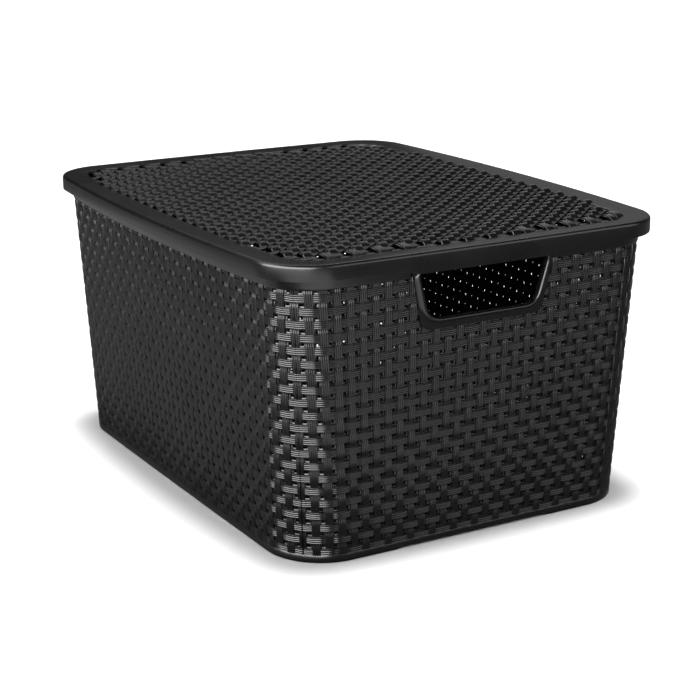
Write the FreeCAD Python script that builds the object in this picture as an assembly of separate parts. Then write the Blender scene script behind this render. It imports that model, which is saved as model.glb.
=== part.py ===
"""A rattan-look storage basket with a lift-off lid, in millimetres.

The basket stands on z = 0 with its long axis along X and a handle opening in each end (the +X and
-X walls). Every horizontal section is a bowed rectangle: four wide side arcs joined by four tangent
corner arcs. The walls lean outwards towards the top. The woven regions are plain shells of the
weave's full thickness.
"""
import FreeCAD, Part
import math
import os
from dataclasses import dataclass

# Driving dimensions of the basket
WALL = 3.0                       # thickness of the woven walls
BAND_HEIGHT = 6.0                # smooth band round the bottom
FLOOR_Z = 3.0                    # underside of the floor panel
FLOOR_THICKNESS = 2.5
FLOOR_CLEARANCE = 0.05           # between the floor panel and the band round it
WEAVE_TOP = 211.6                # where the woven walls end
FLANGE_Z = 226.6                 # underside of the outward flange of the rim
RIM_TOP = 229.2
FLANGE_WIDTH = 5.0
FLAT_HALF_X = 176.0              # where the long walls turn into the corners
FLAT_HALF_Y = 119.0              # where the end walls turn into the corners

# Raised stretch of the bottom edge under each end wall
ARCH_HALF_WIDTH = 70.0
ARCH_SLOPE = 6.0
ARCH_HEIGHT = 2.5

# Handle openings, drawn in the YZ plane
HANDLE_TOP_Z = 216.5
HANDLE_BOTTOM_Z = 178.5
HANDLE_TOP_HALF = 58.0
HANDLE_BOTTOM_HALF = 47.5
HANDLE_BOTTOM_RADIUS = 13.0
HANDLE_TOP_RADIUS = 5.0
BEZEL_SIDE = 5.5
BEZEL_BELOW = 3.5
BEZEL_RELIEF = 2.0
FRAME_SIDE = 6.0                 # smooth plate round the opening: its margins and lower corners
FRAME_BELOW = 8.0
FRAME_ABOVE = 4.0
FRAME_BOTTOM_RADIUS = 9.0

# Lid
LID_BOTTOM_Z = 219.8             # lower edge of the skirt
LID_DEEP_Z = 216.2               # lower edge of the skirt in front of the handles
DEEP_HALF_WIDTH = 58.0
DEEP_SLOPE = 24.0                # length of the S-shaped rise at each end of the deep stretch
SKIRT_TOP_Z = 227.0
SKIRT_THICKNESS = 2.2
LID_PLATE_Z = 229.5              # underside of the lid's flat border
LID_TOP_Z = 232.0
LID_EDGE_RADIUS = 4.6
LID_BORDER = 20.0                # width of the smooth border round the woven panel
PANEL_CENTRE_Z = 228.4           # top of the woven panel at its lowest point, the middle
PANEL_THICKNESS = 3.0
PANEL_DISH_RADIUS = 6500.0       # the panel is a shallow spherical dish
PANEL_CORNER_RADIUS = 28.0

# Outer outlines: half length, half width, bow of the long sides, bow of the ends, corner radius
BOTTOM_OUTLINE = (209.0, 156.5, 1.0, 0.6, 47.0)
TOP_OUTLINE = (217.2, 173.5, 12.0, 3.0, 37.0)      # at the top of the rim
LID_OUTLINE = (225.0, 181.0, 12.0, 3.0, 45.0)

FAR = 400.0                      # beyond every face, for cutting blocks


@dataclass
class Outline:
    """A bowed rectangle: half lengths at the middle of the sides, and the arcs' radii."""
    half_x: float
    half_y: float
    long_radius: float           # arcs of the two long sides, at +Y and -Y
    end_radius: float            # arcs of the two ends, at +X and -X
    corner_radius: float

    def grown(self, distance):
        return Outline(self.half_x + distance, self.half_y + distance, self.long_radius + distance,
                       self.end_radius + distance, self.corner_radius + distance)

    def wire(self, z):
        long_centre = FreeCAD.Vector(0, self.half_y - self.long_radius, 0)
        end_centre = FreeCAD.Vector(self.half_x - self.end_radius, 0, 0)
        centre = self.corner_centre(long_centre, end_centre)
        to_end = (centre - end_centre).normalize()
        to_long = (centre - long_centre).normalize()
        on_end = end_centre + to_end * self.end_radius
        on_long = long_centre + to_long * self.long_radius
        on_corner = centre + (to_end + to_long).normalize() * self.corner_radius

        def placed(point, sign_x, sign_y):
            return FreeCAD.Vector(point.x * sign_x, point.y * sign_y, z)

        end_middle = FreeCAD.Vector(self.half_x, 0, 0)
        long_middle = FreeCAD.Vector(0, self.half_y, 0)
        arcs = [(placed(on_end, 1, -1), placed(end_middle, 1, 1), placed(on_end, 1, 1)),
                (placed(on_end, 1, 1), placed(on_corner, 1, 1), placed(on_long, 1, 1)),
                (placed(on_long, 1, 1), placed(long_middle, 1, 1), placed(on_long, -1, 1)),
                (placed(on_long, -1, 1), placed(on_corner, -1, 1), placed(on_end, -1, 1)),
                (placed(on_end, -1, 1), placed(end_middle, -1, 1), placed(on_end, -1, -1)),
                (placed(on_end, -1, -1), placed(on_corner, -1, -1), placed(on_long, -1, -1)),
                (placed(on_long, -1, -1), placed(long_middle, 1, -1), placed(on_long, 1, -1)),
                (placed(on_long, 1, -1), placed(on_corner, 1, -1), placed(on_end, 1, -1))]
        return Part.Wire([Part.Arc(*points).toShape() for points in arcs])

    def corner_centre(self, long_centre, end_centre):
        """The centre of the +X +Y corner arc, which touches both side arcs from inside."""
        from_long = self.long_radius - self.corner_radius
        from_end = self.end_radius - self.corner_radius
        line = end_centre - long_centre
        length = line.Length
        along = (from_long ** 2 - from_end ** 2 + length ** 2) / (2 * length)
        across = math.sqrt(from_long ** 2 - along ** 2)
        direction = line.normalize()
        normal = FreeCAD.Vector(-direction.y, direction.x, 0)
        if normal.x + normal.y < 0:
            normal = normal * -1
        return long_centre + direction * along + normal * across

    def prism(self, bottom, top):
        return Part.Face(self.wire(bottom)).extrude(FreeCAD.Vector(0, 0, top - bottom))


def bowed(half_x, half_y, long_bow, end_bow, corner_radius):
    """An outline whose sides stand out by the given bows between its corners."""
    long_radius = (half_x ** 2 + long_bow ** 2) / (2 * long_bow)
    end_radius = (half_y ** 2 + end_bow ** 2) / (2 * end_bow)
    return Outline(half_x, half_y, long_radius, end_radius, corner_radius)


def section(z):
    """The outer outline of the leaning walls at height z."""
    share = z / RIM_TOP
    return bowed(*(low + (high - low) * share for low, high in zip(BOTTOM_OUTLINE, TOP_OUTLINE)))


def leaning_solid(offset, bottom, top):
    wires = [section(z).grown(offset).wire(z) for z in (bottom, top)]
    return Part.makeLoft(wires, True, True)


def block(x_range, y_range, z_range):
    lows, highs = zip(x_range, y_range, z_range)
    box = Part.makeBox(*(high - low for low, high in zip(lows, highs)))
    box.translate(FreeCAD.Vector(*lows))
    return box


def slab(bottom, top):
    return block((-FAR, FAR), (-FAR, FAR), (bottom, top))


def rounded_prism(points, radii):
    """A prism along the whole of X whose YZ outline has the given corners, rounded."""
    vectors = [FreeCAD.Vector(0, y, z) for y, z in points]
    pieces = []
    for index, (corner, radius) in enumerate(zip(vectors, radii)):
        before = (vectors[index - 1] - corner).normalize()
        after = (vectors[(index + 1) % len(vectors)] - corner).normalize()
        half_angle = before.getAngle(after) / 2
        start = corner + before * (radius / math.tan(half_angle))
        end = corner + after * (radius / math.tan(half_angle))
        bisector = (before + after).normalize()
        middle = corner + bisector * (radius / math.sin(half_angle) - radius)
        pieces.append((start, middle, end))
    edges = []
    for index, (start, middle, end) in enumerate(pieces):
        edges.append(Part.Arc(start, middle, end).toShape())
        edges.append(Part.makeLine(end, pieces[(index + 1) % len(pieces)][0]))
    prism = Part.Face(Part.Wire(edges)).extrude(FreeCAD.Vector(2 * FAR, 0, 0))
    prism.translate(FreeCAD.Vector(-FAR, 0, 0))
    return prism


def handle_prism(side, below, above, low_radius):
    """The handle opening's prism, grown by a margin at the sides, below and above."""
    top_half = HANDLE_TOP_HALF + side
    bottom_half = HANDLE_BOTTOM_HALF + side
    top_z = HANDLE_TOP_Z + above
    bottom_z = HANDLE_BOTTOM_Z - below
    points = [(-top_half, top_z), (-bottom_half, bottom_z), (bottom_half, bottom_z), (top_half, top_z)]
    return rounded_prism(points, [HANDLE_TOP_RADIUS, low_radius, low_radius, HANDLE_TOP_RADIUS])


def half_space(sign):
    return block(sorted((0.0, sign * FAR)), (-FAR, FAR), (-FAR, FAR))


def frame_prism():
    """The room of both handle frames in the end walls."""
    return handle_prism(FRAME_SIDE, FRAME_BELOW, FRAME_ABOVE, FRAME_BOTTOM_RADIUS)


def profile_along_x(points):
    """A straight-sided outline in the YZ plane, drawn out along the whole of X."""
    profile = Part.makePolygon([FreeCAD.Vector(-FAR, y, z) for y, z in points + points[:1]])
    return Part.Face(profile).extrude(FreeCAD.Vector(2 * FAR, 0, 0))


def cavity():
    """The room inside the walls, drawn out past both ends."""
    return leaning_solid(-WALL, -WALL, RIM_TOP + WALL)


def woven_shell():
    return leaning_solid(0.0, 0.0, RIM_TOP).cut(cavity())


def base_band(shell):
    arch_top_half = ARCH_HALF_WIDTH - ARCH_SLOPE
    points = [(-ARCH_HALF_WIDTH, 0), (-arch_top_half, ARCH_HEIGHT), (arch_top_half, ARCH_HEIGHT),
              (ARCH_HALF_WIDTH, 0), (ARCH_HALF_WIDTH, -ARCH_HEIGHT), (-ARCH_HALF_WIDTH, -ARCH_HEIGHT)]
    return shell.common(slab(0.0, BAND_HEIGHT)).cut(profile_along_x(points))


def base_panel():
    inside = leaning_solid(-WALL - FLOOR_CLEARANCE, -WALL, RIM_TOP + WALL)
    return inside.common(slab(FLOOR_Z, FLOOR_Z + FLOOR_THICKNESS))


def handle_frame(shell, sign):
    """The smooth plate round a handle opening with its raised bezel."""
    raised = leaning_solid(BEZEL_RELIEF, 0.0, RIM_TOP).cut(cavity())
    bezel_radius = HANDLE_BOTTOM_RADIUS + BEZEL_BELOW
    bezel = raised.common(handle_prism(BEZEL_SIDE, BEZEL_BELOW, FRAME_ABOVE, bezel_radius))
    frame = shell.common(frame_prism()).fuse(bezel).common(half_space(sign))
    return frame.cut(handle_prism(0.0, 0.0, 0.0, HANDLE_BOTTOM_RADIUS)).removeSplitter()


def walls(shell):
    """The four woven walls and the four woven corners."""
    woven = shell.common(slab(BAND_HEIGHT, WEAVE_TOP))
    along_x = (-FLAT_HALF_X, FLAT_HALF_X)
    along_y = (-FLAT_HALF_Y, FLAT_HALF_Y)
    full = (-FAR, FAR)
    parts = {}
    for name, sign in (("front", -1), ("back", 1)):
        parts[name + "_wall"] = woven.common(block(along_x, sorted((0.0, sign * FAR)), full))
    for name, sign in (("right", 1), ("left", -1)):
        end = woven.common(block(sorted((FLAT_HALF_X * sign, sign * FAR)), along_y, full))
        parts[name + "_wall"] = end.cut(frame_prism())
    for side, sign_y in (("front", -1), ("back", 1)):
        for end, sign_x in (("right", 1), ("left", -1)):
            corner = block(sorted((FLAT_HALF_X * sign_x, sign_x * FAR)),
                           sorted((FLAT_HALF_Y * sign_y, sign_y * FAR)), full)
            parts[f"{side}_{end}_corner"] = woven.common(corner)
    return parts


def top_band(shell):
    return shell.common(slab(WEAVE_TOP, FLANGE_Z)).cut(frame_prism())


def rim_flange():
    outer = section(RIM_TOP).grown(FLANGE_WIDTH).prism(FLANGE_Z, RIM_TOP)
    return outer.cut(cavity())


def skirt_relief(sign):
    """The prism under the shallow part of the skirt, with an S-shaped end towards a handle."""
    inner, outer = DEEP_HALF_WIDTH, DEEP_HALF_WIDTH + DEEP_SLOPE
    half_rise = (LID_BOTTOM_Z - LID_DEEP_Z) / 2
    radius = ((DEEP_SLOPE / 2) ** 2 + half_rise ** 2) / (2 * half_rise)
    quarter = math.asin(DEEP_SLOPE / 2 / radius) / 2
    across, rise = radius * math.sin(quarter), radius * (1 - math.cos(quarter))

    def at(y, z):
        return FreeCAD.Vector(-FAR, sign * y, z)

    start = at(inner, LID_DEEP_Z)
    middle = at((inner + outer) / 2, LID_DEEP_Z + half_rise)
    end = at(outer, LID_BOTTOM_Z)
    corners = [end, at(FAR, LID_BOTTOM_Z), at(FAR, 0), at(inner, 0), start]
    edges = [Part.Arc(start, at(inner + across, LID_DEEP_Z + rise), middle).toShape(),
             Part.Arc(middle, at(outer - across, LID_BOTTOM_Z - rise), end).toShape()]
    edges += [Part.makeLine(first, second) for first, second in zip(corners, corners[1:])]
    return Part.Face(Part.Wire(edges)).extrude(FreeCAD.Vector(2 * FAR, 0, 0))


def lid_skirt():
    """The hanging edge of the lid, deeper in front of the handles."""
    lid = bowed(*LID_OUTLINE)
    inside = lid.grown(-SKIRT_THICKNESS)
    ring = lid.prism(LID_DEEP_Z, SKIRT_TOP_Z).cut(inside.prism(LID_DEEP_Z, SKIRT_TOP_Z))
    for sign in (-1, 1):
        ring = ring.cut(skirt_relief(sign))
    return ring


def panel_outline():
    """The edge of the lid's woven panel, set in from the lid's edge."""
    inner = bowed(*LID_OUTLINE).grown(-LID_BORDER)
    inner.corner_radius = PANEL_CORNER_RADIUS
    return inner


def lid_border():
    """The flat border of the lid with its rounded outer edge."""
    lid = bowed(*LID_OUTLINE)
    plate = lid.prism(SKIRT_TOP_Z, LID_TOP_Z)
    top_face = max(plate.Faces, key=lambda face: face.CenterOfMass.z)
    plate = plate.makeFillet(LID_EDGE_RADIUS, top_face.Edges)
    plate = plate.cut(lid.grown(-SKIRT_THICKNESS).prism(SKIRT_TOP_Z, LID_PLATE_Z))
    return plate.cut(panel_outline().prism(SKIRT_TOP_Z, LID_TOP_Z))


def lid_panel():
    """The woven panel, a dish a few millimetres deep between two spheres of one centre."""
    centre = FreeCAD.Vector(0, 0, PANEL_CENTRE_Z + PANEL_DISH_RADIUS)
    above = Part.makeSphere(PANEL_DISH_RADIUS, centre)
    below = Part.makeSphere(PANEL_DISH_RADIUS + PANEL_THICKNESS, centre)
    column = panel_outline().prism(PANEL_CENTRE_Z - 2 * PANEL_THICKNESS, RIM_TOP + LID_BORDER)
    return column.common(below).cut(above)


def build():
    shell = woven_shell()
    parts = {"base_band": base_band(shell), "base_panel": base_panel(), "top_band": top_band(shell),
             "rim_flange": rim_flange(), "lid_skirt": lid_skirt(), "lid_border": lid_border(),
             "lid_panel": lid_panel()}
    parts.update(walls(shell))
    for name, sign in (("right", 1), ("left", -1)):
        parts[name + "_handle_frame"] = handle_frame(shell, sign)
    return parts


os.makedirs("parts", exist_ok=True)
for node, shape in build().items():
    shape.exportStep(f"parts/{node}.step")
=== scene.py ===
"""A rattan-look storage basket with a lift-off lid: its woven walls, corners and lid panel are built
strip by strip, and its smooth rims and handle bezels are swept along the outlines. Lengths in this
script are millimetres until a mesh is made.
"""
import math

import bpy
import numpy as np
from mathutils import Matrix, Vector


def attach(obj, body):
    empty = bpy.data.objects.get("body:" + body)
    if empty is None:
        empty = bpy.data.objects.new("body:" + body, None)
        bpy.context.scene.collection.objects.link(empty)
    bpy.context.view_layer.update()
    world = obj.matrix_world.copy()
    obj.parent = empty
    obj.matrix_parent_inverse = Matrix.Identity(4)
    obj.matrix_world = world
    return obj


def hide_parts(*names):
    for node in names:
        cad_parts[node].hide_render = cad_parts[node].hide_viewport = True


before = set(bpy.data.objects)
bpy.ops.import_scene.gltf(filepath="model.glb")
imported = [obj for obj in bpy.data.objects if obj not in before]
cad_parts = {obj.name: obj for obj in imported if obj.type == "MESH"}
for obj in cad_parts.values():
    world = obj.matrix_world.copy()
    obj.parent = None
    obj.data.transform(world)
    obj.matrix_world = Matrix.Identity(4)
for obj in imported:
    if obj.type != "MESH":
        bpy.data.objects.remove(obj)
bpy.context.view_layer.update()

# Outlines, as in the CAD: half length, half width, bow of the long sides, bow of the ends, corner radius
BOTTOM_OUTLINE = (209.0, 156.5, 1.0, 0.6, 47.0)
TOP_OUTLINE = (217.2, 173.5, 12.0, 3.0, 37.0)
LID_OUTLINE = (225.0, 181.0, 12.0, 3.0, 45.0)
PANEL_OUTLINE = (205.0, 158.5, 10.0, 2.6, 28.0)
RIM_TOP = 229.2
WALL = 3.0

# The walls' weave
COLUMNS = 142                # uprights round the basket, counted clockwise from the middle of +X
END_PITCH = (9.72, 10.55)    # pitch of the uprights on the ends, at z = 0 and at RIM_TOP
LONG_PITCH = (9.55, 9.97)    # and on the long sides
END_SHIFT = (0.6, 2.0)       # how far the end's middle upright stands off the middle of the handle
END_LIMIT = 11.5             # columns: where an end turns into a corner, and a corner into a long side
LONG_LIMIT = 17.5
ROWS = 21
ROW_PITCH = 9.88
FIRST_ROW_Z = 8.0
STRIP_SHARE = 0.62           # a strip's width as a share of the pitch
STRIP_THICKNESS = 2.1
AMPLITUDE = 0.45
WAVE_SHARPNESS = 1.5
RIB_GROOVE, RIB_CROWN = 0.36, 0.12        # grooves between the ribs, and fall of the ribs towards the edges
STRIP_FLARE, LID_STRIP_FLARE = 0.67, 0.61  # half width of a strip's back, in strip widths
STEPS = (0.0, 0.28, 0.43, 0.57, 0.72)     # places of the mesh rings in a pitch, from a crossing on
WEAVE_LOW, WEAVE_HIGH = 5.0, 213.0
CORNER_PITCH = 10.2          # about the pitch of the uprights on the corners
PARTING = (15, 56, 86, 127)  # uprights that are split along the mould's parting line
PARTING_GAP, PARTING_LEAST, PARTING_CLOSES = 1.25, 0.12, 115.0   # gap at the foot, above, and where it ends
PARTING_NARROWING = 0.10     # how much narrower a split upright is at its foot, as a share of the pitch

# Smooth parts
BAND_TOP = 6.0
WEAVE_TOP = 211.6
FLANGE_Z = 226.6
FLANGE_WIDTH = 5.0
ARCH_HALF, ARCH_SLOPE, ARCH_HEIGHT = 70.0, 6.0, 2.5
HANDLE_TOP, HANDLE_BOTTOM = (58.0, 216.5), (47.5, 178.5)       # half width and height
HANDLE_TOP_RADIUS, HANDLE_BOTTOM_RADIUS = 5.0, 13.0
FRAME_SIDE, FRAME_BELOW, FRAME_ABOVE, FRAME_RADIUS, FRAME_TOP_RADIUS = 6.0, 8.0, 4.0, 9.0, 3.0
UNDER_HANDLE, BESIDE_HANDLE = (4.5, 171.5), (5.5, 174.5)       # columns from the middle, uprights' top
ROWS_BROKEN_ABOVE, ROW_BREAK_LEAST, ROW_OVERLAP = 172.0, 50.0, 1.5
END_X = 195.0                # beyond this, a place on the body's outline is on an end
ARC_STEPS, SIDE_STEPS = 8, 14                                  # mesh steps of the handle opening's outline

# Lid
SKIRT_BOTTOM, SKIRT_DEEP = 219.8, 216.2
DEEP_HALF, DEEP_SLOPE = 58.0, 24.0
SKIRT_THICKNESS = 2.2
LID_TOP = 232.0
LID_EDGE_RADIUS = 2.4
BORDER_INNER_Z = 230.9
LID_ROWS, LID_ROW_PITCH = 30, 10.6
LID_COLUMNS, LID_COLUMN_PITCH = 44, 9.33
LID_ROW_SHARE, LID_COLUMN_SHARE = 0.64, 0.64
DISH_DEPTH = 3.6
DISH_HALF_X, DISH_HALF_Y = 205.0, 158.0
PANEL_RIM_Z = 230.7          # middle surface of the panel's weave at its edge
LID_STRIP_THICKNESS = 1.2
LENGTHWISE = (0.5, 1.8)     # a lid strip's mean height and amplitude about the middle surface
CROSSWISE = (-1.1, 0.7)
LID_WAVE_SHARPNESS = 0.8
LID_END_X = 200.0            # beyond this, a place on the lid's outline is on an end

# Mesh sections
ARC_POINTS = 400             # points on each arc of a quarter outline
LID_SECTIONS = 720           # sections round the lid's rim

# Camera, in degrees, metres and millimetres of lens
CAMERA_AZIMUTH, CAMERA_ELEVATION, CAMERA_ROLL = 59.94, 16.38, -0.19
CAMERA_TARGET, CAMERA_DISTANCE = (0.07018, -0.03052, 0.11624), 1.41533
CAMERA_LENS, CAMERA_SENSOR = 89.32, 36


# ---------------------------------------------------------------- outlines
def quarter_outline(half_x, half_y, long_bow, end_bow, corner_radius):
    """Points and outward normals from the middle of the +X end to the middle of the -Y side."""
    long_radius = (half_x ** 2 + long_bow ** 2) / (2 * long_bow)
    end_radius = (half_y ** 2 + end_bow ** 2) / (2 * end_bow)
    long_centre = np.array([0.0, half_y - long_radius])
    end_centre = np.array([half_x - end_radius, 0.0])
    line = end_centre - long_centre
    length = np.hypot(*line)
    from_long, from_end = long_radius - corner_radius, end_radius - corner_radius
    along = (from_long ** 2 - from_end ** 2 + length ** 2) / (2 * length)
    across = math.sqrt(from_long ** 2 - along ** 2)
    direction = line / length
    normal = np.array([-direction[1], direction[0]])
    if normal.sum() < 0:
        normal = -normal
    corner = long_centre + direction * along + normal * across
    first = math.atan2(*(corner - end_centre)[::-1])
    second = math.atan2(*(corner - long_centre)[::-1])
    arcs = [(end_centre, end_radius, 0.0, first), (corner, corner_radius, first, second),
            (long_centre, long_radius, second, math.pi / 2)]
    points, normals = [], []
    for centre, radius, start, stop in arcs:
        angle = np.linspace(start, stop, ARC_POINTS)
        unit = np.stack([np.cos(angle), -np.sin(angle)], 1)
        points.append(centre * (1, -1) + unit * radius)
        normals.append(unit)
    return np.concatenate(points), np.concatenate(normals)


def quarter_columns(outline, end_pitch, long_pitch, end_shift):
    """Points and normals of a quarter outline at its columns, from 0 to a quarter of them."""
    points, normals = quarter_outline(*outline)
    arc = np.concatenate([[0], np.cumsum(np.hypot(*np.diff(points, axis=0).T))])
    points = np.concatenate([points[0] + [[0, 5.0]], points])
    arc, normals = np.concatenate([[-5.0], arc]), np.concatenate([normals[:1], normals])
    end_arc = np.interp(END_LIMIT * end_pitch - end_shift, -points[:, 1], arc)
    long_arc = np.interp(-(COLUMNS / 4 - LONG_LIMIT) * long_pitch, -points[:, 0], arc)
    column = np.linspace(0, COLUMNS / 4, 1421)
    on_end = np.interp(column * end_pitch - end_shift, -points[:, 1], arc)
    on_long = np.interp(-(COLUMNS / 4 - column) * long_pitch, -points[:, 0], arc)
    on_corner = end_arc + (long_arc - end_arc) * (column - END_LIMIT) / (LONG_LIMIT - END_LIMIT)
    place = np.where(column < END_LIMIT, on_end, np.where(column > LONG_LIMIT, on_long, on_corner))
    return np.stack([column] + [np.interp(place, arc, series) for series in (*points.T, *normals.T)], 1)


def half_columns(outline, level):
    """The +X half of an outline, from the middle of the +Y side to the middle of the -Y side."""
    pitches = END_PITCH[level], LONG_PITCH[level]
    front = quarter_columns(outline, *pitches, END_SHIFT[level])
    back = quarter_columns(outline, *pitches, -END_SHIFT[level]) * [-1, 1, -1, 1, -1]
    return np.concatenate([back[:0:-1], front])


BOTTOM_TABLE = half_columns(BOTTOM_OUTLINE, 0)
TOP_TABLE = half_columns(TOP_OUTLINE, 1)
RING_COLUMNS = np.linspace(0, COLUMNS, COLUMNS * 6, endpoint=False)     # sections of the smooth rings


def around(table, column):
    """x, y and the normal's x, y at columns anywhere round the outline."""
    place = np.mod(column + COLUMNS / 4, COLUMNS) - COLUMNS / 4
    turned = place > COLUMNS / 4
    place = np.where(turned, place - COLUMNS / 2, place)
    sign = np.where(turned, -1.0, 1.0)
    return [np.interp(place, table[:, 0], table[:, i]) * sign for i in (1, 2, 3, 4)]


def wall_point(column, z, outward):
    """A point of the leaning wall: outward is counted from the wall's outer surface."""
    low = around(BOTTOM_TABLE, column)
    high = around(TOP_TABLE, column)
    share = z / RIM_TOP
    x, y, normal_x, normal_y = (a + (b - a) * share for a, b in zip(low, high))
    size = np.hypot(normal_x, normal_y)
    return np.stack([x + outward * normal_x / size, y + outward * normal_y / size,
                     np.broadcast_to(z, x.shape)], -1)


def end_column(y, z):
    """Column, counted from the end's middle upright, at a place across the +X end."""
    share = z / RIM_TOP
    shift = END_SHIFT[0] + (END_SHIFT[1] - END_SHIFT[0]) * share
    return (shift - y) / (END_PITCH[0] + (END_PITCH[1] - END_PITCH[0]) * share)


def full_outline(outline):
    """Points and normals all round an outline, clockwise from the middle of +X."""
    points, normals = quarter_outline(*outline)
    arc = np.concatenate([[0], np.cumsum(np.hypot(*np.diff(points, axis=0).T))])
    place = np.linspace(0, arc[-1], LID_SECTIONS // 4 + 1)
    rows = np.stack([np.interp(place, arc, series) for series in (*points.T, *normals.T)], 1)
    mirror_x, mirror_y = np.array([-1, 1, -1, 1]), np.array([1, -1, 1, -1])
    half = np.concatenate([rows[:-1], (rows * mirror_x)[::-1][:-1]])
    last = (rows * mirror_x)[0]
    other = (np.concatenate([half, [last]]) * mirror_y)[::-1][:-1]
    whole = np.concatenate([half, other])
    return whole[:, :2], whole[:, 2:]


# ---------------------------------------------------------------- meshes
def shell_faces(rings, width, closed, offset):
    """Quads of a grid of rings, each closed round its width, and the fans of its two caps."""
    ring = np.arange(rings if closed else rings - 1)[:, None]
    point = np.arange(width)[None]
    after = (point + 1) % width
    next_ring = (ring + 1) % rings
    quads = np.stack(np.broadcast_arrays(ring * width + point, ring * width + after,
                                         next_ring * width + after, next_ring * width + point), -1)
    fans = np.zeros((0, 3), int)
    if not closed:
        hub = width - 2
        corner = np.array([i for i in range(width) if i not in (hub, hub - 1)])
        start = np.stack([np.full(len(corner), hub), (corner + 1) % width, corner], 1)
        fans = np.concatenate([start, start[:, ::-1] + (rings - 1) * width])
    return quads.reshape(-1, 4) + offset, fans + offset


def make_piece(name, shells, body, nodes, material, sharp=50):
    """One piece from closed shells: (grid of rings in mm, whether the rings join up)."""
    points, quads, fans, offset = [], [], [], 0
    for grid, closed in shells:
        rings, width = grid.shape[:2]
        shell_quads, shell_fans = shell_faces(rings, width, closed, offset)
        points.append(grid.reshape(-1, 3))
        quads.append(shell_quads)
        fans.append(shell_fans)
        offset += rings * width
    points, quads, fans = np.concatenate(points) * 0.001, np.concatenate(quads), np.concatenate(fans)
    first, second, third, fourth = (points[quads[:, i]] for i in range(4))
    volume = (np.cross(first, second) * third + np.cross(first, third) * fourth).sum()
    if volume < 0:
        quads, fans = quads[:, ::-1], fans[:, ::-1]
    mesh = bpy.data.meshes.new(name)
    mesh.vertices.add(len(points))
    mesh.vertices.foreach_set("co", points.ravel())
    mesh.loops.add(quads.size + fans.size)
    mesh.loops.foreach_set("vertex_index", np.concatenate([quads.ravel(), fans.ravel()]))
    mesh.polygons.add(len(quads) + len(fans))
    starts = np.concatenate([np.arange(len(quads)) * 4, quads.size + np.arange(len(fans)) * 3])
    mesh.polygons.foreach_set("loop_start", starts)
    mesh.polygons.foreach_set("use_smooth", np.ones(len(starts), bool))
    mesh.update(calc_edges=True)
    mesh.validate()
    mesh.set_sharp_from_angle(angle=math.radians(sharp))
    mesh.materials.append(material)
    piece = bpy.data.objects.new(name, mesh)
    bpy.context.scene.collection.objects.link(piece)
    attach(piece, body)
    if nodes:
        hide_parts(*nodes)
    return piece


# ---------------------------------------------------------------- strips
def rib_section(ribs, thickness, flare):
    """Places across a strip, from -0.5 to 0.5, and heights above its middle surface."""
    top = thickness / 2
    section = [(-0.5, 0.3 - top), (-0.5, top - 0.65), (-0.455, top - 0.25)]
    for rib in range(ribs):
        middle = (rib + 0.5) / ribs - 0.5
        for side, drop in ((-0.33, 0.15), (0.0, 0.0), (0.33, 0.15)):
            place = middle + side / ribs
            section.append((place, top - drop - RIB_CROWN * (2 * place) ** 2))
        if rib < ribs - 1:
            place = (rib + 1) / ribs - 0.5
            section.append((place, top - RIB_GROOVE - RIB_CROWN * (2 * place) ** 2))
    section += [(0.455, top - 0.25), (0.5, top - 0.65), (0.5, 0.3 - top), (flare, -top), (-flare, -top)]
    return np.array(section)


def wave(phase, sharpness):
    """Rises to 1 at even phases and falls to -1 at odd ones, with rounded flats."""
    return np.tanh(sharpness * np.cos(np.pi * phase)) / math.tanh(sharpness)


def ring_places(start, stop):
    """Where a strip's mesh rings lie between two places counted in pitches."""
    places = np.arange(math.floor(start), math.ceil(stop) + 1)[:, None] + np.array(STEPS)
    places = places[(places > start + 0.02) & (places < stop - 0.02)]
    return np.concatenate([[start], places, [stop]])[:, None]


def parting_gap(z):
    """Width of the gap at the mould's parting line, which closes towards the top."""
    return np.maximum(PARTING_LEAST, PARTING_GAP * (1 - z / PARTING_CLOSES))


FULL_STRIP = rib_section(4, STRIP_THICKNESS, STRIP_FLARE)
HALF_STRIP = rib_section(2, STRIP_THICKNESS, STRIP_FLARE)
LID_STRIP = rib_section(4, LID_STRIP_THICKNESS, LID_STRIP_FLARE)
MIDDLE = -WALL / 2


def upright(column, low, high):
    """One upright strip as a grid of rings; a column on the parting line gives two thin ones."""
    low_place, high_place = (low - FIRST_ROW_Z) / ROW_PITCH, (high - FIRST_ROW_Z) / ROW_PITCH
    z = FIRST_ROW_Z + ROW_PITCH * ring_places(low_place, high_place)
    outward = MIDDLE + AMPLITUDE * wave((z - FIRST_ROW_Z) / ROW_PITCH + column, WAVE_SHARPNESS)
    if column not in PARTING:
        return [wall_point(column + FULL_STRIP[:, 0] * STRIP_SHARE + 0 * z, z + 0 * FULL_STRIP[:, 0],
                           outward + FULL_STRIP[:, 1])]
    gap = parting_gap(z) / CORNER_PITCH
    half = (STRIP_SHARE - PARTING_NARROWING * (1 - z / WEAVE_HIGH) - gap) / 2
    grids = []
    for side in (-1, 1):
        middle = column + side * (gap + half) / 2
        grids.append(wall_point(middle + HALF_STRIP[:, 0] * half, z + 0 * HALF_STRIP[:, 0],
                                outward + HALF_STRIP[:, 1]))
    return grids


def row_strip(row, start, stop):
    """One level strip between two columns."""
    column = ring_places(start, stop)
    z = FIRST_ROW_Z + row * ROW_PITCH + FULL_STRIP[:, 0] * STRIP_SHARE * ROW_PITCH
    outward = MIDDLE + AMPLITUDE * wave(column + row + 1, WAVE_SHARPNESS)
    return wall_point(column + 0 * z, z + 0 * column, outward + FULL_STRIP[:, 1])


def handle_half(z):
    """Half the width of the handle opening at height z."""
    share = (z - HANDLE_BOTTOM[1]) / (HANDLE_TOP[1] - HANDLE_BOTTOM[1])
    return HANDLE_BOTTOM[0] + (HANDLE_TOP[0] - HANDLE_BOTTOM[0]) * share


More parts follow.
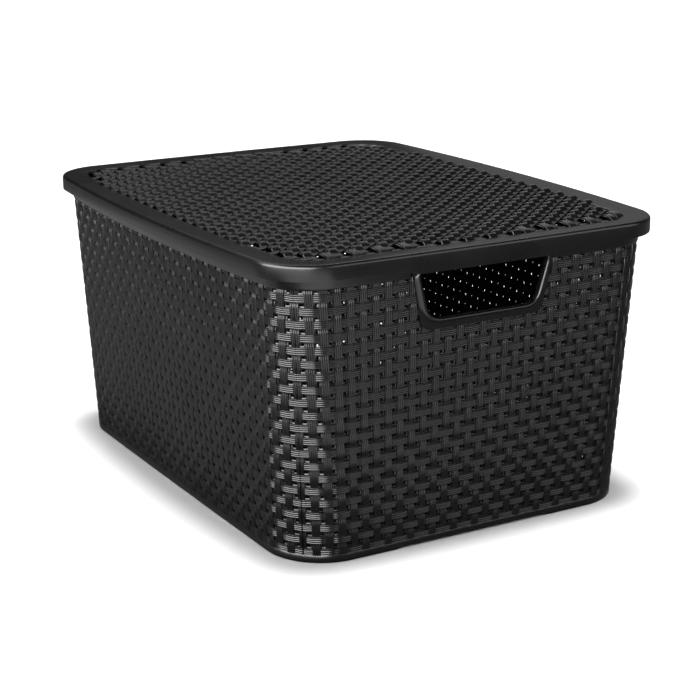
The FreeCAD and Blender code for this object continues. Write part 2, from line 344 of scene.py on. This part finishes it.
REGIONS = {"right_wall": (-11.5, 11.5), "front_right_corner": (11.5, 17.5), "front_wall": (17.5, 53.5),
           "front_left_corner": (53.5, 59.5), "left_wall": (59.5, 82.5), "back_left_corner": (82.5, 88.5),
           "back_wall": (88.5, 124.5), "back_right_corner": (124.5, 130.5)}


def build_walls(material):
    for region, (start, stop) in REGIONS.items():
        is_end = region in ("right_wall", "left_wall")
        middle = (start + stop) / 2
        uprights, rows = [], []
        for column in range(math.ceil(start), math.floor(stop) + 1):
            high = WEAVE_HIGH
            distance = abs(column - middle)
            if is_end and distance < BESIDE_HANDLE[0]:
                high = UNDER_HANDLE[1] if distance < UNDER_HANDLE[0] else BESIDE_HANDLE[1]
            uprights += [(grid, False) for grid in upright(column, WEAVE_LOW, high)]
        for row in range(ROWS):
            z = FIRST_ROW_Z + row * ROW_PITCH
            spans = [(start, stop)]
            for column in PARTING:
                if start < column < stop:
                    half = float(parting_gap(z)) / 2 / CORNER_PITCH
                    spans = [(start, column - half), (column + half, stop)]
            if is_end and z > ROWS_BROKEN_ABOVE:
                inner = max(ROW_BREAK_LEAST, float(handle_half(z)) + FRAME_SIDE - ROW_OVERLAP)
                spans = [(start, middle + end_column(inner, z)), (middle + end_column(-inner, z), stop)]
            rows += [(row_strip(row, *span), False) for span in spans]
        make_piece(f"{region}_uprights", uprights, "basket", [region], material)
        make_piece(f"{region}_rows", rows, "basket", [region], material)


# ---------------------------------------------------------------- lid weave
def dish(x, y):
    """Middle surface of the lid's woven panel."""
    across, along = np.clip(x / DISH_HALF_X, -1, 1) ** 2, np.clip(y / DISH_HALF_Y, -1, 1) ** 2
    return PANEL_RIM_Z - DISH_DEPTH * (1 - across) * (1 - along)


def lid_limits():
    """Reach of the panel's opening: the x limit at a given y and the y limit at a given x."""
    points, _ = quarter_outline(*PANEL_OUTLINE)
    x, y = points[:, 0], -points[:, 1]
    return (lambda at: np.interp(abs(at), y, x)), (lambda at: np.interp(abs(at), x[::-1], y[::-1]))


def edge_phase(place, last, reach):
    """Phase along a strip: pitch by pitch to its last crossing, then half a turn on at the edge."""
    over = np.maximum(np.abs(place) - last, 0)
    share = np.clip(over / max(reach - last, 0.25), 0, 1)
    return np.sign(place) * (np.minimum(np.abs(place), last) + share * 0.5)


def lid_strip(across, limit, pitch, others, share, other_pitch, parity, along_x):
    """One strip of the lid at a fixed place across, running between its two limits."""
    reach = limit + 1.2
    first = (others - 1) / 2
    place = (ring_places(-reach / pitch + first, reach / pitch + first) - first) * pitch
    crossing = place / pitch
    inside = math.floor(limit / pitch - 0.45 + first % 1) - first % 1
    last = min(first, inside)
    phase = edge_phase(crossing, last, limit / pitch)
    mean, amplitude = LENGTHWISE if along_x else CROSSWISE
    lift = mean + amplitude * wave(phase + parity, LID_WAVE_SHARPNESS)
    dip = np.clip((np.abs(place) - (limit - 1.5)) / 2.7, 0, 1)
    lift = lift * (1 - dip) - 0.8 * dip
    sideways = across + LID_STRIP[:, 0] * share * other_pitch + 0 * place
    run = place + 0 * sideways
    x, y = (run, sideways) if along_x else (sideways, run)
    return np.stack([x, y, dish(x, y) + lift + LID_STRIP[:, 1]], -1)


def build_lid_weave(material):
    limit_x, limit_y = lid_limits()
    along, cross = [], []
    for number in range(LID_ROWS):
        y = (number - (LID_ROWS - 1) / 2) * LID_ROW_PITCH
        along.append((lid_strip(y, float(limit_x(y)), LID_COLUMN_PITCH, LID_COLUMNS, LID_ROW_SHARE,
                                LID_ROW_PITCH, number + (LID_COLUMNS + 1) / 2, True), False))
    for number in range(LID_COLUMNS):
        x = (number - (LID_COLUMNS - 1) / 2) * LID_COLUMN_PITCH
        cross.append((lid_strip(x, float(limit_y(x)), LID_ROW_PITCH, LID_ROWS, LID_COLUMN_SHARE,
                                LID_COLUMN_PITCH, number + (LID_ROWS - 1) / 2, False), False))
    half = len(along) // 2
    make_piece("lid_weave_lengthwise_front", along[:half], "lid", ["lid_panel"], material)
    make_piece("lid_weave_lengthwise_back", along[half:], "lid", ["lid_panel"], material)
    half = len(cross) // 2
    make_piece("lid_weave_crosswise_left", cross[:half], "lid", ["lid_panel"], material)
    make_piece("lid_weave_crosswise_right", cross[half:], "lid", ["lid_panel"], material)


# ---------------------------------------------------------------- smooth parts
def swept_ring(positions, normals, profile):
    """A ring swept along an outline; the profile holds offsets and heights, each a number or a series."""
    grid = []
    for offset, z in profile:
        offset = np.broadcast_to(offset, len(positions))
        height = np.broadcast_to(z, len(positions))
        grid.append(np.concatenate([positions + normals * offset[:, None], height[:, None]], 1))
    return np.stack(grid, 1)


def smooth_step(value):
    value = np.clip(value, 0, 1)
    return value * value * (3 - 2 * value)


def leaning_ring(profile):
    """A ring that follows the leaning walls; the profile holds offsets and heights."""
    return np.stack([wall_point(RING_COLUMNS, np.broadcast_to(z, RING_COLUMNS.shape), offset)
                     for offset, z in profile], 1)


def build_base_band(material):
    x, y, _, _ = around(BOTTOM_TABLE, RING_COLUMNS)
    on_end = np.abs(x) > END_X
    arch = smooth_step((ARCH_HALF - np.abs(y)) / ARCH_SLOPE) * on_end * ARCH_HEIGHT
    profile = [(-WALL, arch), (-0.6, arch), (-0.15, arch + 0.2), (0.0, arch + 0.7), (0.0, BAND_TOP - 0.4),
               (-0.3, BAND_TOP), (-WALL, BAND_TOP)]
    make_piece("bottom_band", [(leaning_ring(profile), True)], "basket", ["base_band"], material,
               sharp=40)


def build_top_rim(material):
    x, y, _, _ = around(TOP_TABLE, RING_COLUMNS)
    frame_half = HANDLE_TOP[0] + FRAME_SIDE - 0.5
    over_frame = (np.abs(x) > END_X) & (np.abs(y) < frame_half)
    low = np.where(over_frame, HANDLE_TOP[1] + FRAME_ABOVE, WEAVE_TOP)
    profile = [(-WALL, low), (-0.3, low), (0.0, low + 0.3), (0.2, np.maximum(low + 0.6, 213.6)),
               (2.3, np.maximum(low + 0.9, 221.4)), (3.0, FLANGE_Z - 0.9), (3.4, FLANGE_Z),
               (FLANGE_WIDTH - 0.6, FLANGE_Z), (FLANGE_WIDTH, FLANGE_Z + 0.6), (FLANGE_WIDTH, RIM_TOP - 0.7),
               (FLANGE_WIDTH - 0.7, RIM_TOP), (-WALL + 0.7, RIM_TOP), (-WALL, RIM_TOP - 0.7)]
    make_piece("top_rim", [(leaning_ring(profile), True)], "basket", ["top_band", "rim_flange"],
               material, sharp=40)


def rounded_loop(grow_side, below, above, low_radius, high_radius):
    """The handle opening's outline in the YZ plane, grown by margins."""
    corners = [(-HANDLE_TOP[0] - grow_side, HANDLE_TOP[1] + above, high_radius),
               (-HANDLE_BOTTOM[0] - grow_side, HANDLE_BOTTOM[1] - below, low_radius),
               (HANDLE_BOTTOM[0] + grow_side, HANDLE_BOTTOM[1] - below, low_radius),
               (HANDLE_TOP[0] + grow_side, HANDLE_TOP[1] + above, high_radius)]
    arcs = []
    for index, (y, z, radius) in enumerate(corners):
        corner = np.array([y, z])
        before = np.array(corners[index - 1][:2]) - corner
        after = np.array(corners[(index + 1) % 4][:2]) - corner
        before, after = before / np.hypot(*before), after / np.hypot(*after)
        half_angle = math.acos(float(before @ after)) / 2
        bisector = (before + after) / np.hypot(*(before + after))
        centre = corner + bisector * radius / math.sin(half_angle)
        start = corner + before * radius / math.tan(half_angle) - centre
        stop = corner + after * radius / math.tan(half_angle) - centre
        first, last = math.atan2(start[1], start[0]), math.atan2(stop[1], stop[0])
        turn = (last - first + math.pi) % (2 * math.pi) - math.pi
        angle = first + turn * np.linspace(0, 1, ARC_STEPS + 1)
        arcs.append(centre + radius * np.stack([np.cos(angle), np.sin(angle)], 1))
    loop = []
    for index, arc in enumerate(arcs):
        target = arcs[(index + 1) % 4][0]
        share = np.linspace(0, 1, SIDE_STEPS + 1)[1:-1, None]
        loop += [arc, arc[-1] + (target - arc[-1]) * share]
    return np.concatenate(loop)


def build_handle(name, middle, node, material):
    low, high = HANDLE_BOTTOM_RADIUS, HANDLE_TOP_RADIUS
    rings = [(0.0, -WALL), (0.0, 0.6), (0.25, 1.4), (0.9, 2.0), (1.8, 2.3), (2.8, 2.25), (3.8, 1.8),
             (4.7, 1.0), (5.5, 0.2)]
    grid = []
    for grow, outward in rings:
        loop = rounded_loop(grow, grow * 3.5 / 5.5, min(grow, FRAME_ABOVE), low + grow, high + grow)
        grid.append((loop, outward))
    plate = rounded_loop(FRAME_SIDE, FRAME_BELOW, FRAME_ABOVE, FRAME_RADIUS, FRAME_TOP_RADIUS)
    grid += [(plate, 0.15), (plate, -WALL)]
    shell = []
    for loop, outward in grid:
        y, z = loop.T
        shell.append(wall_point(middle + end_column(y, z), z, outward))
    make_piece(name, [(np.stack(shell, 1), True)], "basket", [node], material, sharp=40)


def build_lid_rim(material):
    positions, normals = full_outline(LID_OUTLINE)
    y = positions[:, 1]
    on_end = np.abs(positions[:, 0]) > LID_END_X
    rise = smooth_step((np.abs(y) - DEEP_HALF) / DEEP_SLOPE)
    bottom = np.where(on_end, SKIRT_DEEP + (SKIRT_BOTTOM - SKIRT_DEEP) * rise, SKIRT_BOTTOM)
    inner_positions, inner_normals = full_outline(PANEL_OUTLINE)
    to_inner = inner_positions - positions
    profile = [(-SKIRT_THICKNESS, bottom), (-0.5, bottom), (-0.12, bottom + 0.15), (0.0, bottom + 0.6),
               (0.0, LID_TOP - LID_EDGE_RADIUS)]
    for angle in np.radians(np.arange(11.25, 91, 11.25)):
        profile.append((-LID_EDGE_RADIUS * (1 - math.cos(angle)),
                        LID_TOP - LID_EDGE_RADIUS * (1 - math.sin(angle))))
    outer = swept_ring(positions, normals, profile)
    inner = []
    for grow, z in ((3.0, BORDER_INNER_Z + 0.25), (0.7, BORDER_INNER_Z), (0.15, BORDER_INNER_Z - 0.25),
                    (0.0, BORDER_INNER_Z - 0.8), (0.0, 228.9)):
        inner.append(swept_ring(inner_positions, inner_normals, [(grow, z)]))
    under = swept_ring(positions, normals, [(-SKIRT_THICKNESS - 1.2, LID_TOP - 2.6),
                                            (-SKIRT_THICKNESS, LID_TOP - 3.8)])
    grid = np.concatenate([outer] + inner + [under], 1)
    make_piece("lid_rim", [(grid, True)], "lid", ["lid_skirt", "lid_border"], material,
               sharp=40)


# ---------------------------------------------------------------- materials
DARK_PLASTIC, LIGHT_PLASTIC = (0.004, 0.004, 0.004, 1), (0.008, 0.0078, 0.0076, 1)


def plastic(name, roughness, grain, grain_depth):
    """Moulded black plastic: mottled colour and gloss, and a fine grain."""
    material = bpy.data.materials.new(name)
    material.use_nodes = True
    nodes, links = material.node_tree.nodes, material.node_tree.links
    shader = nodes["Principled BSDF"]
    coordinates = nodes.new("ShaderNodeTexCoord")
    patches = nodes.new("ShaderNodeTexNoise")
    patches.inputs["Scale"].default_value = 22.0
    patches.inputs["Detail"].default_value = 4.0
    links.new(coordinates.outputs["Object"], patches.inputs["Vector"])
    colours = nodes.new("ShaderNodeValToRGB")
    colours.color_ramp.elements[0].position = 0.3
    colours.color_ramp.elements[0].color = DARK_PLASTIC
    colours.color_ramp.elements[1].position = 0.75
    colours.color_ramp.elements[1].color = LIGHT_PLASTIC
    links.new(patches.outputs["Fac"], colours.inputs["Fac"])
    links.new(colours.outputs["Color"], shader.inputs["Base Color"])
    speckle = nodes.new("ShaderNodeTexNoise")
    speckle.inputs["Scale"].default_value = grain
    speckle.inputs["Detail"].default_value = 3.0
    links.new(coordinates.outputs["Object"], speckle.inputs["Vector"])
    gloss = nodes.new("ShaderNodeMapRange")
    gloss.inputs["To Min"].default_value = roughness - 0.05
    gloss.inputs["To Max"].default_value = roughness + 0.07
    links.new(patches.outputs["Fac"], gloss.inputs["Value"])
    links.new(gloss.outputs["Result"], shader.inputs["Roughness"])
    bump = nodes.new("ShaderNodeBump")
    bump.inputs["Strength"].default_value = 0.35
    bump.inputs["Distance"].default_value = grain_depth
    links.new(speckle.outputs["Fac"], bump.inputs["Height"])
    links.new(bump.outputs["Normal"], shader.inputs["Normal"])
    shader.inputs["IOR"].default_value = 1.5
    return material


def floor_material():
    material = bpy.data.materials.new("studio_floor")
    material.use_nodes = True
    nodes, links = material.node_tree.nodes, material.node_tree.links
    shader = nodes["Principled BSDF"]
    noise = nodes.new("ShaderNodeTexNoise")
    noise.inputs["Scale"].default_value = 3.0
    colours = nodes.new("ShaderNodeValToRGB")
    colours.color_ramp.elements[0].color = (0.89, 0.89, 0.89, 1)
    colours.color_ramp.elements[1].color = (0.91, 0.91, 0.91, 1)
    links.new(noise.outputs["Fac"], colours.inputs["Fac"])
    links.new(colours.outputs["Color"], shader.inputs["Base Color"])
    shader.inputs["Roughness"].default_value = 0.9
    shader.inputs["Specular IOR Level"].default_value = 0.1
    return material


# ---------------------------------------------------------------- stage
def aimed(obj, position, target):
    obj.location = position
    obj.rotation_euler = (Vector(target) - Vector(position)).to_track_quat("-Z", "Y").to_euler()
    bpy.context.scene.collection.objects.link(obj)
    return obj


def softbox(name, position, target, size, power):
    """A soft light that shows in the gloss alone, so that it neither lights nor shadows the floor."""
    light = bpy.data.lights.new(name, "AREA")
    light.shape = "RECTANGLE"
    light.size, light.size_y = size
    light.energy = power
    box = aimed(bpy.data.objects.new(name, light), position, target)
    box.visible_diffuse = False
    box.visible_camera = False
    return box


def build_stage():
    corners = [(-40, -40, 0), (40, -40, 0), (40, 40, 0), (-40, 40, 0)]
    mesh = bpy.data.meshes.new("studio_floor")
    mesh.from_pydata(corners, [], [(0, 1, 2, 3)])
    mesh.materials.append(floor_material())
    floor = bpy.data.objects.new("studio_floor", mesh)
    floor.location.z = -0.0003
    floor.visible_glossy = False     # reflections see the dim floor lights instead of the pale floor
    bpy.context.scene.collection.objects.link(floor)
    world = bpy.data.worlds.new("studio_world")
    world.use_nodes = True
    background = world.node_tree.nodes["Background"]
    background.inputs["Color"].default_value = (1.0, 1.0, 1.0, 1)
    background.inputs["Strength"].default_value = 0.04
    bpy.context.scene.world = world
    for name, strength, angle in (("overhead", 2.4, 9), ("overhead_soft", 2.6, 90)):
        light = bpy.data.lights.new(name, "SUN")
        light.energy = strength
        light.angle = math.radians(angle)
        sun = aimed(bpy.data.objects.new(name, light), (0, 0, 3), (0, 0, 0))
        sun.visible_glossy = False
    softbox("front_left", (0.62, -1.36, 0.8), (0.05, -0.1, 0.3), (3.3, 1.5), 190)
    softbox("back_right", (-1.25, 1.75, 0.8), (0.0, 0.1, 0.2), (1.7, 0.9), 1.2)
    softbox("back_high", (-1.12, 0.64, 1.32), (0.0, 0.0, 0.2), (1.2, 0.6), 4.6)
    softbox("top_left", (-0.7, -1.0, 1.7), (0.0, 0.0, 0.2), (1.3, 1.0), 16)
    softbox("floor_glow", (0.0, 0.0, 0.001), (0.0, 0.0, 1.0), (8.0, 8.0), 36)
    softbox("floor_bounce", (0.80, -0.42, 0.002), (0.80, -0.42, 1.0), (0.9, 0.9), 4.6)
    softbox("floor_bounce_left", (-0.42, -0.43, 0.002), (-0.42, -0.43, 1.0), (1.05, 0.45), 0.65)
    softbox("right_fill", (1.5, 0.95, 0.85), (0.1, 0.0, 0.15), (1.8, 1.3), 17)
    bpy.context.scene.view_settings.view_transform = "Standard"
    bpy.context.scene.view_settings.gamma = 0.9


def build_camera():
    angles = CAMERA_AZIMUTH, CAMERA_ELEVATION, CAMERA_ROLL
    azimuth, elevation, roll = (math.radians(value) for value in angles)
    back = Vector((math.sin(azimuth) * math.cos(elevation), -math.cos(azimuth) * math.cos(elevation),
                   math.sin(elevation)))
    right = Vector((math.cos(azimuth), math.sin(azimuth), 0))
    up = back.cross(right)
    turned_right = right * math.cos(roll) + up * math.sin(roll)
    turned_up = up * math.cos(roll) - right * math.sin(roll)
    data = bpy.data.cameras.new("camera")
    data.sensor_width = CAMERA_SENSOR
    data.lens = CAMERA_LENS
    camera = bpy.data.objects.new("camera", data)
    place = Vector(CAMERA_TARGET) + back * CAMERA_DISTANCE
    axes = Matrix((turned_right, turned_up, back)).transposed().to_4x4()
    camera.matrix_world = Matrix.Translation(place) @ axes
    bpy.context.scene.collection.objects.link(camera)
    bpy.context.scene.camera = camera


woven = plastic("woven_black_plastic", 0.23, 1400.0, 0.00004)
smooth = plastic("smooth_black_plastic", 0.27, 2200.0, 0.00003)
build_walls(woven)
build_lid_weave(woven)
build_base_band(smooth)
build_top_rim(smooth)
build_handle("right_handle_bezel", 0, "right_handle_frame", smooth)
build_handle("left_handle_bezel", COLUMNS / 2, "left_handle_frame", smooth)
build_lid_rim(smooth)
floor_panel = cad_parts["base_panel"]
for socket in floor_panel.material_slots:
    socket.material = smooth
build_stage()
build_camera()
